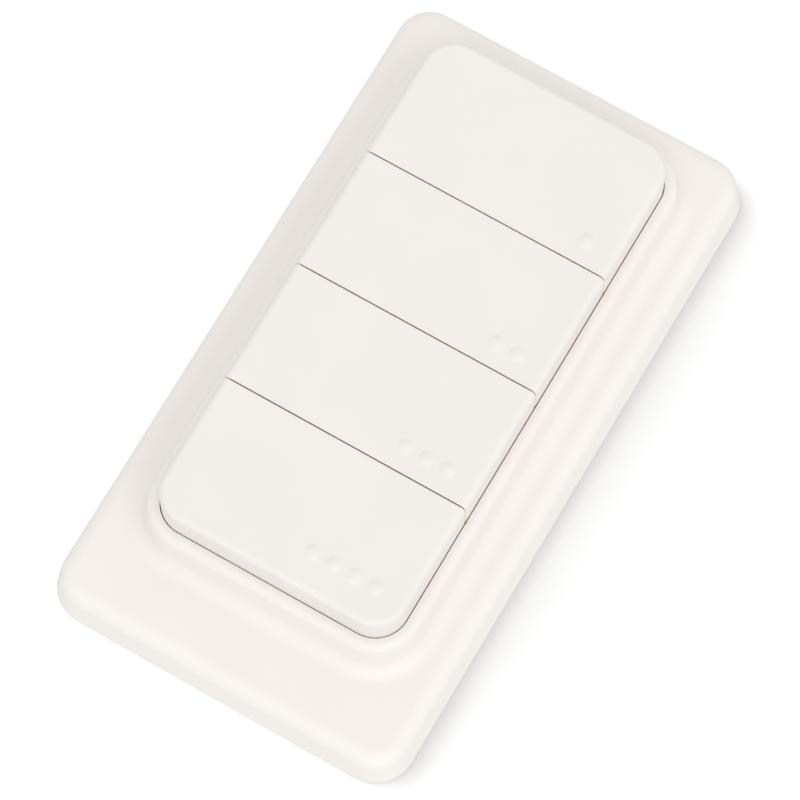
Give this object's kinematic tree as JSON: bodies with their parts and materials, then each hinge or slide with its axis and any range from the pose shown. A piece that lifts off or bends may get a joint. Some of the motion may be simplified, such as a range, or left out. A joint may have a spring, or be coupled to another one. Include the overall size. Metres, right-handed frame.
{
  "type": "wireless remote wall switch",
  "caption": "Wireless remote wall switch: a low rectangular wall holder with rounded rim and raised collar, holding a slim remote whose full-width keys carry raised dots.",
  "frame": {"origin": "centre of the back face of the wall holder", "axes": "+Z out of the front, +Y along the long side towards the one-dot key, +X to the right seen from the front"},
  "size_m": [0.044, 0.0814, 0.0152],
  "materials": {
    "holder_plastic": "fine matt texture, warm white",
    "key_plastic": "fine matt texture, warm white",
    "case_plastic": "matt, warm white",
    "frame_plastic": "matt, pale grey",
    "magnet_plating": "nickel plated",
    "steel": "zinc plated",
    "board": "green solder mask",
    "shield_can": "tinned",
    "black_resin": "moulded resin",
    "stem_plastic": "moulded",
    "cell_steel": "bright steel",
    "spring_steel": "plated spring sheet",
    "contact_brass": "plated spring sheet"
  },
  "bodies": {
    "holder": {"wall_holder": "holder_plastic", "holder_magnets": "magnet_plating", "rear_cover": "case_plastic", "keeper_plates": "steel", "remote_case": "case_plastic", "circuit_board": "board", "radio_module": "shield_can", "crystal": "shield_can", "controller_chip": "black_resin", "coin_cell": "cell_steel", "battery_clip": "spring_steel", "battery_contact": "contact_brass", "key_frame": "frame_plastic", "case_screws": "steel", "switch_base_1": "black_resin", "switch_base_2": "black_resin", "switch_base_3": "black_resin", "switch_base_4": "black_resin"},
    "key_1_press": {"key_1": "key_plastic", "switch_stem_1": "stem_plastic"},
    "key_2_press": {"key_2": "key_plastic", "switch_stem_2": "stem_plastic"},
    "key_3_press": {"key_3": "key_plastic", "switch_stem_3": "stem_plastic"},
    "key_4_press": {"key_4": "key_plastic", "switch_stem_4": "stem_plastic"}
  },
  "joints": [
    {"name": "press_key_1", "type": "slide", "parent": "holder", "child": "key_1_press", "axis": [0, 0, -1], "range_m": [0, 0.0004], "stiffness_N_per_m": 4000},
    {"name": "press_key_2", "type": "slide", "parent": "holder", "child": "key_2_press", "axis": [0, 0, -1], "range_m": [0, 0.0004], "stiffness_N_per_m": 4000},
    {"name": "press_key_3", "type": "slide", "parent": "holder", "child": "key_3_press", "axis": [0, 0, -1], "range_m": [0, 0.0004], "stiffness_N_per_m": 4000},
    {"name": "press_key_4", "type": "slide", "parent": "holder", "child": "key_4_press", "axis": [0, 0, -1], "range_m": [0, 0.0004], "stiffness_N_per_m": 4000}
  ]
}
